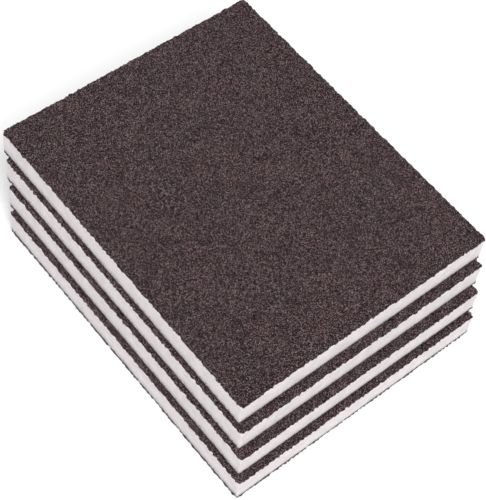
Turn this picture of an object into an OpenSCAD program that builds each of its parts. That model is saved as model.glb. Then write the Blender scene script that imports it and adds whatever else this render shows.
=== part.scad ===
// Hand sanding blocks: a pile of four double-sided foam sanding pads.
// Each pad is a flat foam core with a resin coat and a grit coat on both faces.
// Origin: centre of the underside of the lowest pad. +Y runs along a pad, +Z is up the pile.

/* [Pad] */
// Width of a pad
pad_width = 98; // [50:1:200]
// Length of a pad
pad_length = 120; // [60:1:250]
// Radius of the upright corners of a pad
corner_radius = 1.2; // [0.2:0.1:6]

/* [Layers] */
// Thickness of the foam core
core_thickness = 9.2; // [4:0.1:30]
// Thickness of the resin coat that holds the grit to the foam
bond_thickness = 0.12; // [0.06:0.02:0.5]
// Thickness of the grit coat, from the resin to the tips of the grains
grit_thickness = 0.28; // [0.1:0.02:1]

/* [Pile] */
// How far pad 2 is set back from pad 1, along X and Y
pad_2_step = [1.8, 2.6]; // [0:0.1:10]
// How far pad 3 is set back from pad 2, along X and Y
pad_3_step = [1.6, 3.3]; // [0:0.1:10]
// How far pad 4 is set back from pad 3, along X and Y
pad_4_step = [1.5, 3.2]; // [0:0.1:10]

/* [Hidden] */
$fn = 48;

foam_colour = "#e4dfe0";
bond_colour = "#37302f";
grit_colour = "#4d4143";

coat_thickness = bond_thickness + grit_thickness;
pad_thickness = core_thickness + 2 * coat_thickness;

// Place of each pad's centre on the floor plan, from the lowest pad up
pad_places = [
    [0, 0],
    pad_2_step,
    pad_2_step + pad_3_step,
    pad_2_step + pad_3_step + pad_4_step
];
pad_count = len(pad_places);

LAYERS = ["lower_grit_coat", "lower_bond_coat", "foam_core", "upper_bond_coat", "upper_grit_coat"];

// Outline of a pad: a rectangle with round corners
module pad_outline() {
    inner_width = pad_width - 2 * corner_radius;
    inner_length = pad_length - 2 * corner_radius;
    square([pad_width, inner_length], center = true);
    square([inner_width, pad_length], center = true);
    for (side = [-1, 1], end = [-1, 1])
        translate([side * inner_width / 2, end * inner_length / 2])
            circle(r = corner_radius);
}

// One flat layer of a pad, from a height above that pad's underside
module layer_sheet(pad, from_height, thickness) {
    place = pad_places[pad - 1];
    translate([place.x, place.y, (pad - 1) * pad_thickness + from_height])
        linear_extrude(height = thickness) pad_outline();
}

module lower_grit_coat(pad) {
    color(grit_colour) layer_sheet(pad, 0, grit_thickness);
}

module lower_bond_coat(pad) {
    color(bond_colour) layer_sheet(pad, grit_thickness, bond_thickness);
}

module foam_core(pad) {
    color(foam_colour) layer_sheet(pad, coat_thickness, core_thickness);
}

module upper_bond_coat(pad) {
    color(bond_colour) layer_sheet(pad, coat_thickness + core_thickness, bond_thickness);
}

module upper_grit_coat(pad) {
    color(grit_colour) layer_sheet(pad, pad_thickness - grit_thickness, grit_thickness);
}

for (pad = [1:pad_count]) {
    lower_grit_coat(pad);
    lower_bond_coat(pad);
    foam_core(pad);
    upper_bond_coat(pad);
    upper_grit_coat(pad);
}
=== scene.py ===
import math

import bpy
import numpy as np
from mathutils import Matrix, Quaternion, Vector


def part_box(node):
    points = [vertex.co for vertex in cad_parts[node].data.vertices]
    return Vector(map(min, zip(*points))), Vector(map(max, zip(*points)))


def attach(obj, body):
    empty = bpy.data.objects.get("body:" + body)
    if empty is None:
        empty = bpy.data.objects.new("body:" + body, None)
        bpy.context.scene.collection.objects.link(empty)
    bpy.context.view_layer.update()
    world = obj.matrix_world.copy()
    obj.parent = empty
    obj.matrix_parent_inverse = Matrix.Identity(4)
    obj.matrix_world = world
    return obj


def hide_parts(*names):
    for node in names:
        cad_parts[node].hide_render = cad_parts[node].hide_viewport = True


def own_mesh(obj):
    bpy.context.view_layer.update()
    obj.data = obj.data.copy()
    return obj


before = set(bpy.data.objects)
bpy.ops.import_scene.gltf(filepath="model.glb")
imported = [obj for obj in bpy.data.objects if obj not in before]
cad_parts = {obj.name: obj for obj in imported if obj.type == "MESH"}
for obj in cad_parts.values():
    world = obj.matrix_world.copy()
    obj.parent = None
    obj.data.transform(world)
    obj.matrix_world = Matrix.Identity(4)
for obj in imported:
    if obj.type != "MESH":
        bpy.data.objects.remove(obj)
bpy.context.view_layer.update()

# A pile of four double-sided foam sanding pads. Heights and depths that are shares are shares of
# the thickness of the layer, and wave lengths are pairs: the shortest and the longest.

MM = 0.001

# The pads
PAD_COUNT = 4

# The grit: grains on a jittered grid, as shares of a cell and of the coat's thickness
GRAIN_SPACING = 0.50 * MM
PEAK_JITTER = 0.28
VALLEY_JITTER = 0.16
PEAK_LEAST = 0.65
VALLEY_MOST = 0.3
RESIN_DIP = 0.12
RIM_HEIGHTS = (0.15, 0.8)

# The tone of the grit: each facet strays from its grain. Painted light: the faces round the coat's edge
# take the brightest tones, against the shade of the crevice they sit in, and the grains of ledges by the
# long sides are made lighter, to lift them out of the shade of the pad above
FACET_SCATTER = 0.20
FRINGE_PAINTED_LIGHT_TONES = (1.0, 2.0)
LEDGE_REACH = 4.0 * MM
LEDGE_PAINTED_LIGHT_LEAST = 0.3
LEDGE_PAINTED_LIGHT = 0.65

# The ragged cut edge of the coats
COAT_CORNER = 1.0 * MM
EDGE_WAVE = 0.04 * MM
EDGE_WAVE_LENGTHS = (2.2 * MM, 6.0 * MM)
EDGE_GRAIN = 0.14 * MM
EDGE_GRAIN_LENGTHS = (1.0 * MM, 2.0 * MM)
EDGE_LIMITS = (-0.35 * MM, 0.22 * MM)
EDGE_REACH = 1.6 * MM
LOWER_FLARE = 0.16 * MM

# The fringe of grains that hangs over the foam's wall: its longest reach, then shares of that
UPPER_LIP = 0.30 * MM
LOWER_LIP = 0.90 * MM
LIP_MEAN = 0.30
LIP_WAVE = 0.30
LIP_WAVE_LENGTHS = (1.0 * MM, 3.0 * MM)
LIP_SCATTER = 0.20
LIP_LEAN = 0.2
LIP_GRIP = 0.6 * MM

# The resin film
FILM_INSET = 0.10 * MM
FILM_SPACING = 1.0 * MM
FILM_LEVEL = 0.9
FILM_RIPPLE = 0.05
FILM_RIPPLE_LENGTHS = (3 * MM, 9 * MM)

# The foam walls: their rounded edges, and the depth and lengths of what the knife left on them
FOAM_SPACING = 0.3 * MM
FOAM_CORNER = 0.6 * MM
FOAM_CORNER_STEPS = 5
FOAM_TOP_ROUND = 0.2 * MM
FOAM_HOLLOW = 0.10 * MM
FOAM_SWELL = 0.05 * MM
FOAM_SWELL_LENGTHS = (5 * MM, 14 * MM)
FOAM_BUMP = 0.022 * MM
FOAM_BUMP_LENGTHS = (1.2 * MM, 3.0 * MM)
FOAM_PIT = 0.09 * MM
FOAM_PIT_LENGTHS = (0.9 * MM, 1.6 * MM)
FOAM_PIT_START = 1.5
FOAM_LIMITS = (-0.25 * MM, 0.12 * MM)
# On the walls that face ±Y, the better lit ones, the painted shade and the dust specks at the foot reach
# less high
Y_WALL_SHADE_AND_DUST_CUT = 0.8

# The camera
CAMERA_TARGET = Vector((-0.0007, -0.0008, 0.020))
CAMERA_AZIMUTH = -46.97
CAMERA_ELEVATION = 57.02
CAMERA_ROLL = 9.42
CAMERA_DISTANCE = 0.4683
CAMERA_LENS = 105.67


# ---------------------------------------------------------------- noise and mesh helpers

def waves(points, wave_lengths, count, seed):
    """Smooth noise of about unit spread at each point: a sum of sine waves of random directions."""
    shortest, longest = wave_lengths
    rng = np.random.default_rng(seed)
    directions = rng.normal(size=(count, points.shape[1]))
    directions /= np.linalg.norm(directions, axis=1, keepdims=True)
    lengths = shortest * (longest / shortest) ** rng.random(count)
    phases = rng.random(count) * math.tau
    total = np.zeros(len(points))
    for direction, length, phase in zip(directions, lengths, phases):
        total += np.cos(points @ direction * (math.tau / length) + phase)
    return total * math.sqrt(2 / count)


def make_mesh(name, points, faces, smooth=False):
    """A mesh object from points and a list of face arrays, each array with faces of one size."""
    mesh = bpy.data.meshes.new(name)
    sizes = np.concatenate([np.full(len(group), group.shape[1]) for group in faces])
    corners = np.concatenate([group.ravel() for group in faces])
    starts = np.concatenate([[0], np.cumsum(sizes)[:-1]])
    mesh.vertices.add(len(points))
    mesh.vertices.foreach_set("co", points.astype(np.float32).ravel())
    mesh.loops.add(len(corners))
    mesh.loops.foreach_set("vertex_index", corners.astype(np.int32))
    mesh.polygons.add(len(sizes))
    mesh.polygons.foreach_set("loop_start", starts.astype(np.int32))
    mesh.polygons.foreach_set("use_smooth", np.full(len(sizes), smooth))
    mesh.update(calc_edges=True)
    mesh.validate()
    piece = bpy.data.objects.new(name, mesh)
    bpy.context.scene.collection.objects.link(piece)
    return piece


def store(piece, name, domain, values):
    """Keeps one number per point or per face on a piece, for its material to read."""
    attribute = piece.data.attributes.new(name, "FLOAT", domain)
    attribute.data.foreach_set("value", values.astype(np.float32))


def lattice(low, high, spacing):
    """Grid lines across a rectangle, about one spacing apart and with both edges on a line."""
    counts = [max(2, round((high[i] - low[i]) / spacing)) for i in (0, 1)]
    return [np.linspace(low[i], high[i], counts[i] + 1) for i in (0, 1)]


def ring_of(grid):
    """The numbers around the rim of a two-dimensional index grid, anticlockwise from above."""
    return np.concatenate([grid[0, :-1], grid[:-1, -1], grid[-1, :0:-1], grid[:0:-1, 0]])


def round_corners(points, low, high):
    """Moves points of a rectangle so that its square corners follow COAT_CORNER."""
    middle = (low + high) / 2
    inner = (high - low) / 2 - COAT_CORNER
    offset = points - middle
    beyond = np.maximum(np.abs(offset) - inner, 0)
    reach = np.hypot(beyond[:, 0], beyond[:, 1])
    share = np.where(reach > 0, beyond.max(axis=1) / np.maximum(reach, 1e-12), 1.0)
    inside = np.minimum(np.abs(offset), inner)
    return middle + np.sign(offset) * (inside + beyond * share[:, None])


def rim_depth(points, low, high):
    """Distance of each point of a rectangle from its nearest side."""
    return np.minimum(points - low, high - points).min(axis=1)


def outward(points, low, high):
    """Direction away from the rounded rectangle's inner rectangle, for points near the rim."""
    middle = (low + high) / 2
    inner = (high - low) / 2 - COAT_CORNER - EDGE_REACH
    beyond = np.maximum(np.abs(points - middle) - inner, 0) * np.sign(points - middle)
    length = np.linalg.norm(beyond, axis=1, keepdims=True)
    return beyond / np.maximum(length, 1e-9)


def ragged_sheet(points, low, high, flare, seed):
    """Lays a square-cornered grid on the pad's outline, with the uneven edge that cutting leaves."""
    depth = rim_depth(points, low, high)
    laid = round_corners(points, low, high)
    away = outward(laid, low, high)
    uneven = EDGE_WAVE * waves(laid, EDGE_WAVE_LENGTHS, 24, [seed, 1])
    uneven += EDGE_GRAIN * waves(laid, EDGE_GRAIN_LENGTHS, 32, [seed, 2])
    uneven = np.clip(uneven, *EDGE_LIMITS) + flare
    fade = np.clip(1 - depth / EDGE_REACH, 0, 1) ** 2
    return laid + away * (uneven * fade)[:, None]


# ---------------------------------------------------------------- the coats

def rim_flare(side):
    """How far a coat's edge stands out: the cut pushes the lower one out beyond the foam."""
    return LOWER_FLARE if side == "lower" else 0.0


def ragged_lip(edge, side, seed):
    """How far the grains at the edge hang over the foam's wall, all the way round."""
    reach = LIP_MEAN + LIP_WAVE * waves(edge, LIP_WAVE_LENGTHS, 32, [seed, 4])
    reach += LIP_SCATTER * np.random.default_rng([seed, 5]).normal(size=len(edge))
    return (LOWER_LIP if side == "lower" else UPPER_LIP) * np.clip(reach, 0, 1)


def coat_frame(pad, side, layer):
    """A coat's node, outline and thickness, the height of its back, and which way it grows."""
    node = f"pad_{pad}_{side}_{layer}"
    low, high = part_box(node)
    direction = 1 if side == "upper" else -1
    back_z = low.z if side == "upper" else high.z
    return node, np.array(low.xy), np.array(high.xy), high.z - low.z, back_z, direction


def grid_quads(numbers):
    """The four corners of every cell of an index grid, anticlockwise from above."""
    return [numbers[:-1, :-1], numbers[:-1, 1:], numbers[1:, 1:], numbers[1:, :-1]]


def coat_piece(name, plan, heights, faces, rim, lip, low, high, back_z, direction):
    """A closed coat: its outer relief, the lip that hangs over the next layer, and its flat back."""
    edge = plan[rim]
    away = outward(edge, low, high)
    outer = np.column_stack([plan, back_z + direction * heights])
    tip = np.column_stack([edge + away * (lip * LIP_LEAN)[:, None], back_z - direction * lip])
    back = np.column_stack([edge - away * LIP_GRIP, np.full(len(rim), back_z)])
    points = np.concatenate([outer, tip, back])
    tips = len(plan) + np.arange(len(rim))
    backs = tips + len(rim)
    skirts = [
        np.column_stack([start, end, np.roll(end, -1), np.roll(start, -1)])
        for start, end in ((rim, tips), (tips, backs))
    ]
    groups = [faces, *skirts, backs[::-1][None, :]]
    if direction < 0:
        groups = [group[:, ::-1] for group in groups]
    return make_mesh(name, points, groups)


def grit_coat(pad, side):
    """Crushed grains side by side: each cell of the grid is one grain with four facets."""
    node, low, high, thickness, back_z, direction = coat_frame(pad, side, "grit_coat")
    seed = 10 * pad + direction
    rng = np.random.default_rng(seed)

    xs, ys = lattice(low, high, GRAIN_SPACING)
    cell = np.array([xs[1] - xs[0], ys[1] - ys[0]])
    valleys = np.stack(np.meshgrid(xs, ys), axis=-1)
    inner = valleys[1:-1, 1:-1]
    inner += cell * rng.uniform(-VALLEY_JITTER, VALLEY_JITTER, inner.shape)
    peaks = np.stack(np.meshgrid(xs[:-1], ys[:-1]), axis=-1) + cell / 2
    peaks += cell * rng.uniform(-PEAK_JITTER, PEAK_JITTER, peaks.shape)
    rows, columns = peaks.shape[:2]

    valley_numbers = np.arange((rows + 1) * (columns + 1)).reshape(rows + 1, columns + 1)
    peak_numbers = valley_numbers.size + np.arange(rows * columns).reshape(rows, columns)
    rim = ring_of(valley_numbers)
    plan = np.concatenate([valleys.reshape(-1, 2), peaks.reshape(-1, 2)])
    plan = ragged_sheet(plan, low, high, rim_flare(side), seed)

    valley_heights = thickness * (VALLEY_MOST * rng.random(valley_numbers.size) ** 2 - RESIN_DIP)
    peak_heights = thickness * (PEAK_LEAST + (1 - PEAK_LEAST) * rng.random(peak_numbers.size) ** 0.8)
    heights = np.concatenate([valley_heights, peak_heights])
    heights[rim] = thickness * rng.uniform(*RIM_HEIGHTS, len(rim))

    corners = grid_quads(valley_numbers)
    facets = np.concatenate([
        np.stack([corners[i], corners[(i + 1) % 4], peak_numbers], axis=-1).reshape(-1, 3)
        for i in range(4)
    ])
    lip = ragged_lip(plan[rim], side, seed)
    piece = coat_piece(
        f"{node}_grains", plan, heights, facets, rim, lip, low, high, back_z, direction)

    facet_tone_and_light = np.tile(rng.random(peak_numbers.size), 4)
    facet_tone_and_light = np.clip(facet_tone_and_light + rng.normal(0, FACET_SCATTER, len(facet_tone_and_light)), 0, 1)
    # Painted light: on the upper coats of all but the top pad the grains are made lighter, most near the
    # ends in x, so the ledges left bare by the pad above are lifted out of its shade
    if side == "upper" and pad < PAD_COUNT:
        across = peaks[:, :, 0].ravel()
        depth = np.minimum(across - low[0], high[0] - across)
        dust_and_painted_light = LEDGE_PAINTED_LIGHT * np.clip(1.5 - depth / LEDGE_REACH, LEDGE_PAINTED_LIGHT_LEAST, 1)
        facet_tone_and_light += np.tile(dust_and_painted_light, 4)
    # Painted light: every face round the coat's edge (skirts, lip and back) gets a tone past the top of
    # the ramp, the brightest grain colour, against the shade it sits in
    others = len(piece.data.polygons) - len(facet_tone_and_light)
    fringe_painted_light = rng.uniform(*FRINGE_PAINTED_LIGHT_TONES, others)
    store(piece, "grain_tone_and_light", "FACE", np.concatenate([facet_tone_and_light, fringe_painted_light]))
    piece.data.materials.append(grit_material())
    return piece, node


def bond_coat(pad, side):
    """The resin film under the grains, with the same uneven edge as the grit coat on it."""
    node, low, high, thickness, back_z, direction = coat_frame(pad, side, "bond_coat")
    seed = 10 * pad + direction

    xs, ys = lattice(low, high, FILM_SPACING)
    plan = np.stack(np.meshgrid(xs, ys), axis=-1)
    numbers = np.arange(len(xs) * len(ys)).reshape(len(ys), len(xs))
    rim = ring_of(numbers)
    plan = ragged_sheet(plan.reshape(-1, 2), low, high, rim_flare(side) - FILM_INSET, seed)
    ripple = np.clip(waves(plan, FILM_RIPPLE_LENGTHS, 20, [seed, 3]), -2, 2)
    heights = thickness * (FILM_LEVEL + FILM_RIPPLE * ripple)
    heights[rim] = thickness
    faces = np.stack(grid_quads(numbers), axis=-1).reshape(-1, 4)
    no_lip = np.zeros(len(rim))
    piece = coat_piece(
        f"{node}_film", plan, heights, faces, rim, no_lip, low, high, back_z, direction)
    piece.data.materials.append(bond_material())
    return piece, node


# ---------------------------------------------------------------- the foam core

def foam_outline(low, high):
    """Points around the foam's outline, and their outward normals."""
    half = (high - low) / 2 - FOAM_CORNER
    middle = (low + high) / 2
    centres = middle + half * np.array([[1, -1], [1, 1], [-1, 1], [-1, -1]])
    points, normals = [], []
    for i, centre in enumerate(centres):
        start = (i - 1) * math.pi / 2
        for angle in start + np.linspace(0, math.pi / 2, FOAM_CORNER_STEPS + 1):
            normal = np.array([math.cos(angle), math.sin(angle)])
            points.append(centre + FOAM_CORNER * normal)
            normals.append(normal)
        following = centres[(i + 1) % 4] + FOAM_CORNER * normals[-1]
        steps = round(np.linalg.norm(following - points[-1]) / FOAM_SPACING)
        begin = points[-1]
        for share in np.arange(1, steps) / steps:
            points.append(begin + (following - begin) * share)
            normals.append(normals[-1])
    return np.array(points), np.array(normals)


def foam_profile(thickness):
    """Heights up the wall and how far each one lies inside the outline."""
    levels = np.linspace(0, thickness - FOAM_TOP_ROUND, round(thickness / FOAM_SPACING))
    hollow = FOAM_HOLLOW * np.sin(np.pi * levels / thickness)
    top_angles = np.linspace(0.25, 0.5, 3) * math.pi
    top_levels = thickness - FOAM_TOP_ROUND * (1 - np.sin(top_angles))
    top_insets = FOAM_TOP_ROUND * (1 - np.cos(top_angles))
    return np.concatenate([levels, top_levels]), np.concatenate([hollow, top_insets])


def foam_core(pad):
    """The foam block with its four cut walls: uneven, pitted, hollow in the middle, round at the edges."""
    node = f"pad_{pad}_foam_core"
    low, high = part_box(node)
    thickness = high.z - low.z
    base_z = low.z
    low, high = np.array(low.xy), np.array(high.xy)
    around, normals = foam_outline(low, high)
    levels, insets = foam_profile(thickness)
    rows, columns = len(levels), len(around)

    plan = around[None, :, :] - normals[None, :, :] * insets[:, None, None]
    level = np.broadcast_to(levels[:, None], (rows, columns))
    points = np.concatenate([plan, (base_z + level)[:, :, None]], axis=2).reshape(-1, 3)

    inner = np.sin(np.pi * np.clip(level / thickness, 0, 1)).ravel() ** 0.5
    bumps = FOAM_SWELL * waves(points, FOAM_SWELL_LENGTHS, 24, [pad, 5])
    bumps += FOAM_BUMP * waves(points, FOAM_BUMP_LENGTHS, 40, [pad, 6])
    pits = waves(points, FOAM_PIT_LENGTHS, 48, [pad, 7])
    bumps -= FOAM_PIT * np.clip(pits - FOAM_PIT_START, 0, 1.5)
    points[:, :2] += np.tile(normals, (rows, 1)) * (np.clip(bumps, *FOAM_LIMITS) * inner)[:, None]

    numbers = np.arange(rows * columns).reshape(rows, columns)
    right = np.roll(numbers, -1, axis=1)
    walls = np.stack([numbers[:-1], right[:-1], right[1:], numbers[1:]], axis=-1).reshape(-1, 4)
    bottom, top = numbers[0][::-1][None, :], numbers[-1][None, :]
    piece = make_mesh(f"{node}_foam", points, [walls, bottom, top], smooth=True)
    # Walls facing ±Y get less painted shade and fewer dust specks at their foot
    shade_and_dust_cut = 1 + Y_WALL_SHADE_AND_DUST_CUT * np.abs(normals[:, 1])
    store(piece, "height_share", "POINT", (level / thickness * shade_and_dust_cut).ravel())
    piece.data.materials.append(foam_material())
    return piece, node, Vector((0, 0, base_z)), thickness


# ---------------------------------------------------------------- materials

def new_material(name):
    """A material with an empty node tree but for its shader, and functions to add nodes and links."""
    material = bpy.data.materials.new(name)
    material.use_nodes = True
    nodes, links = material.node_tree.nodes, material.node_tree.links
    shader = nodes["Principled BSDF"]

    def add(kind, **values):
        node = nodes.new(kind)
        for key, value in values.items():
            if key in node.inputs:
                node.inputs[key].default_value = value
            else:
                setattr(node, key, value)
        return node

    return material, shader, add, links.new


def colour_ramp(add, stops):
    """A colour ramp with the given (position, colour) stops."""
    ramp = add("ShaderNodeValToRGB")
    elements = ramp.color_ramp.elements
    while len(elements) < len(stops):
        elements.new(0.5)
    for element, (position, colour) in zip(elements, stops):
        element.position = position
        element.color = (*colour, 1)
    return ramp


def cached(make):
    """Makes a material once and hands the same one to every piece."""
    made = []

    def get():
        if not made:
            made.append(make())
        return made[0]
    return get


@cached
def grit_material():
    """Dark brown crushed grains: each facet and each chip its own shade, a few of them bright."""
    material, shader, add, link = new_material("grit")
    place = add("ShaderNodeTexCoord").outputs["Object"]
    # The stored tone is the grains' own random tone, with painted light added on the ledges and on the
    # faces round the edge
    tone = add("ShaderNodeAttribute", attribute_name="grain_tone_and_light")
    chips = add("ShaderNodeTexVoronoi", Scale=4300.0)
    link(place, chips.inputs["Vector"])
    chip_tone = add("ShaderNodeSeparateColor")
    link(chips.outputs["Color"], chip_tone.inputs["Color"])
    both = add("ShaderNodeMix")
    both.inputs["Factor"].default_value = 0.95
    link(tone.outputs["Fac"], both.inputs["A"])
    link(chip_tone.outputs["Red"], both.inputs["B"])
    grains = colour_ramp(add, [
        (0.15, (0.0004, 0.0000, 0.0000)),
        (0.38, (0.0080, 0.0020, 0.0032)),
        (0.58, (0.0340, 0.0148, 0.0176)),
        (0.76, (0.0990, 0.0615, 0.0668)),
        (0.92, (0.2750, 0.2060, 0.2130)),
    ])
    link(both.outputs["Result"], grains.inputs["Fac"])

    patches = add("ShaderNodeTexNoise", Scale=150.0, Detail=2.0)
    link(place, patches.inputs["Vector"])
    tint = colour_ramp(add, [
        (0.30, (0.96, 1.015, 0.99)),
        (0.5, (1.0, 1.0, 1.0)),
        (0.70, (1.05, 0.985, 1.005)),
    ])
    link(patches.outputs["Fac"], tint.inputs["Fac"])
    tinted = add("ShaderNodeMix", data_type="RGBA", blend_type="MULTIPLY")
    tinted.inputs["Factor"].default_value = 1.0
    link(grains.outputs["Color"], tinted.inputs["A"])
    link(tint.outputs["Color"], tinted.inputs["B"])
    link(tinted.outputs["Result"], shader.inputs["Base Color"])
    shader.inputs["Specular IOR Level"].default_value = 0.20

    broken = add("ShaderNodeTexNoise", Scale=5200.0, Detail=3.0, Roughness=0.6)
    link(place, broken.inputs["Vector"])
    rough = add("ShaderNodeMapRange")
    rough.inputs["To Min"].default_value = 0.30
    rough.inputs["To Max"].default_value = 0.70
    link(broken.outputs["Fac"], rough.inputs["Value"])
    link(rough.outputs["Result"], shader.inputs["Roughness"])
    bump = add("ShaderNodeBump", Strength=0.6, Distance=0.05 * MM)
    link(broken.outputs["Fac"], bump.inputs["Height"])
    link(bump.outputs["Normal"], shader.inputs["Normal"])
    return material


@cached
def bond_material():
    """Cured resin: a dark brown film, dull, with small pits and thicker, darker runs."""
    material, shader, add, link = new_material("bond_resin")
    place = add("ShaderNodeTexCoord").outputs["Object"]
    runs = add("ShaderNodeTexNoise", Scale=420.0, Detail=4.0)
    link(place, runs.inputs["Vector"])
    ramp = colour_ramp(add, [(0.30, (0.016, 0.011, 0.011)), (0.70, (0.045, 0.032, 0.031))])
    link(runs.outputs["Fac"], ramp.inputs["Fac"])
    link(ramp.outputs["Color"], shader.inputs["Base Color"])
    shader.inputs["Roughness"].default_value = 0.45
    pits = add("ShaderNodeTexNoise", Scale=3000.0, Detail=2.0)
    link(place, pits.inputs["Vector"])
    bump = add("ShaderNodeBump", Strength=0.4, Distance=0.04 * MM)
    link(pits.outputs["Fac"], bump.inputs["Height"])
    link(bump.outputs["Normal"], shader.inputs["Normal"])
    return material


@cached
def foam_material():
    """Off-white soft foam: fine open cells with painted shade in their pits, faint pink and grey mottling,
    painted shade greying the wall towards its foot, and grit dust specks by the lower edge.
    """
    material, shader, add, link = new_material("foam")
    place = add("ShaderNodeTexCoord").outputs["Object"]
    mottle = add("ShaderNodeTexNoise", Scale=330.0, Detail=4.0, Roughness=0.6)
    link(place, mottle.inputs["Vector"])
    base = colour_ramp(add, [(0.32, (0.655, 0.618, 0.628)), (0.68, (0.770, 0.713, 0.724))])
    link(mottle.outputs["Fac"], base.inputs["Fac"])

    # Painted shade in the pits of the open cells: the colour darkens where the bump below dips
    cells = add("ShaderNodeTexVoronoi", Scale=1900.0)
    link(place, cells.inputs["Vector"])
    pore_shade = colour_ramp(add, [(0.05, (0.72, 0.70, 0.70)), (0.30, (1.0, 1.0, 1.0))])
    link(cells.outputs["Distance"], pore_shade.inputs["Fac"])
    pore_shaded = add("ShaderNodeMix", data_type="RGBA", blend_type="MULTIPLY")
    pore_shaded.inputs["Factor"].default_value = 0.6
    link(base.outputs["Color"], pore_shaded.inputs["A"])
    link(pore_shade.outputs["Color"], pore_shaded.inputs["B"])

    height = add("ShaderNodeAttribute", attribute_name="height_share")
    streaks = add("ShaderNodeMapping", Scale=(1.0, 1.0, 0.6))
    link(place, streaks.inputs["Vector"])
    dust_and_painted_light = add("ShaderNodeTexNoise", Scale=1300.0, Detail=4.0, Roughness=0.65)
    link(streaks.outputs["Vector"], dust_and_painted_light.inputs["Vector"])

    # Painted shade: a soft grey darkening of the wall towards its foot, standing in for the shade by the
    # ledge below, that fades out a third of the way up
    film = add("ShaderNodeMapRange")
    film.inputs["From Max"].default_value = 0.45
    film.inputs["To Min"].default_value = 0.70
    film.inputs["To Max"].default_value = 0.0
    link(height.outputs["Fac"], film.inputs["Value"])
    faded = add("ShaderNodeMath", operation="POWER")
    faded.inputs[1].default_value = 2.2
    link(film.outputs["Result"], faded.inputs[0])
    foot_shaded = add("ShaderNodeMix", data_type="RGBA")
    foot_shaded.inputs["B"].default_value = (0.18, 0.165, 0.165, 1)
    link(faded.outputs["Value"], foot_shaded.inputs["Factor"])
    link(pore_shaded.outputs["Result"], foot_shaded.inputs["A"])

    # Dark specks right by the edge
    near_edge = add("ShaderNodeMapRange")
    near_edge.inputs["From Max"].default_value = 0.28
    near_edge.inputs["To Min"].default_value = 0.16
    near_edge.inputs["To Max"].default_value = -0.16
    link(height.outputs["Fac"], near_edge.inputs["Value"])
    amount = add("ShaderNodeMath", operation="ADD")
    link(dust_and_painted_light.outputs["Fac"], amount.inputs[0])
    link(near_edge.outputs["Result"], amount.inputs[1])
    specks = colour_ramp(add, [(0.56, (0.0, 0.0, 0.0)), (0.68, (1.0, 1.0, 1.0))])
    link(amount.outputs["Value"], specks.inputs["Fac"])
    dusty = add("ShaderNodeMix", data_type="RGBA")
    link(specks.outputs["Color"], dusty.inputs["Factor"])
    link(foot_shaded.outputs["Result"], dusty.inputs["A"])
    dusty.inputs["B"].default_value = (0.22, 0.20, 0.20, 1)
    link(dusty.outputs["Result"], shader.inputs["Base Color"])
    shader.inputs["Roughness"].default_value = 0.95
    shader.inputs["Specular IOR Level"].default_value = 0.2
    bump = add("ShaderNodeBump", Strength=0.6, Distance=0.12 * MM)
    link(cells.outputs["Distance"], bump.inputs["Height"])
    link(bump.outputs["Normal"], shader.inputs["Normal"])
    return material


# ---------------------------------------------------------------- camera, light and floor

def make_camera():
    """A long lens that looks down on the pile from beyond its -X, -Y corner, and leans a little."""
    data = bpy.data.cameras.new("camera")
    camera = bpy.data.objects.new("camera", data)
    bpy.context.scene.collection.objects.link(camera)
    azimuth, elevation = math.radians(CAMERA_AZIMUTH), math.radians(CAMERA_ELEVATION)
    back = Vector((
        math.sin(azimuth) * math.cos(elevation),
        -math.cos(azimuth) * math.cos(elevation),
        math.sin(elevation),
    ))
    lean = Quaternion((0, 0, 1), math.radians(CAMERA_ROLL))
    camera.location = CAMERA_TARGET + back * CAMERA_DISTANCE
    camera.rotation_mode = "QUATERNION"
    camera.rotation_quaternion = (-back).to_track_quat("-Z", "Y") @ lean
    data.lens = CAMERA_LENS
    data.clip_start = 0.01
    data.clip_end = 20
    bpy.context.scene.camera = camera


def make_floor():
    """A wide pale floor."""
    half = 3.0
    corners = np.array([[-half, -half, 0], [half, -half, 0], [half, half, 0], [-half, half, 0]])
    floor = make_mesh("floor", corners, [np.array([[0, 1, 2, 3]])])
    material, shader, add, link = new_material("floor")
    shader.inputs["Base Color"].default_value = (0.93, 0.93, 0.93, 1)
    shader.inputs["Roughness"].default_value = 0.9
    shader.inputs["Specular IOR Level"].default_value = 0.1
    floor.data.materials.append(material)


def make_softbox(name, direction, distance, size, power):
    """A large square lamp that faces the pile."""
    data = bpy.data.lights.new(name, "AREA")
    data.shape = "SQUARE"
    data.size = size
    data.energy = power
    lamp = bpy.data.objects.new(name, data)
    towards = Vector(direction).normalized()
    lamp.location = towards * distance
    lamp.rotation_mode = "QUATERNION"
    lamp.rotation_quaternion = (-towards).to_track_quat("-Z", "Y")
    bpy.context.scene.collection.objects.link(lamp)


def make_light():
    """White surroundings, and two softboxes high up on the camera's side."""
    world = bpy.data.worlds.new("world")
    world.use_nodes = True
    world.node_tree.nodes["Background"].inputs["Color"].default_value = (1, 1, 1, 1)
    world.node_tree.nodes["Background"].inputs["Strength"].default_value = 0.56
    bpy.context.scene.world = world
    make_softbox("high left", (-0.445, -0.227, 0.866), 1.5, 0.6, 1.5)
    make_softbox("high front", (-0.25, -0.433, 0.866), 1.5, 0.6, 16.0)
    bpy.context.scene.view_settings.view_transform = "Standard"


# ---------------------------------------------------------------- assembly

def place_coat(made, body):
    """Fixes a coat to its body, in place of its node."""
    piece, node = made
    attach(piece, body)
    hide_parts(node)


def place_foam(made, pad):
    """Fixes a foam core to its pad in place of its node, and gives it a mesh of its own."""
    piece, node, foot, thickness = made
    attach(piece, f"pad_{pad}")
    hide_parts(node)
    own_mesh(piece)


make_camera()
make_floor()
make_light()
for pad in range(1, PAD_COUNT + 1):
    place_foam(foam_core(pad), pad)
    place_coat(bond_coat(pad, "lower"), f"pad_{pad}")
    place_coat(grit_coat(pad, "lower"), f"pad_{pad}")
    place_coat(bond_coat(pad, "upper"), f"pad_{pad}_face")
    place_coat(grit_coat(pad, "upper"), f"pad_{pad}_face")
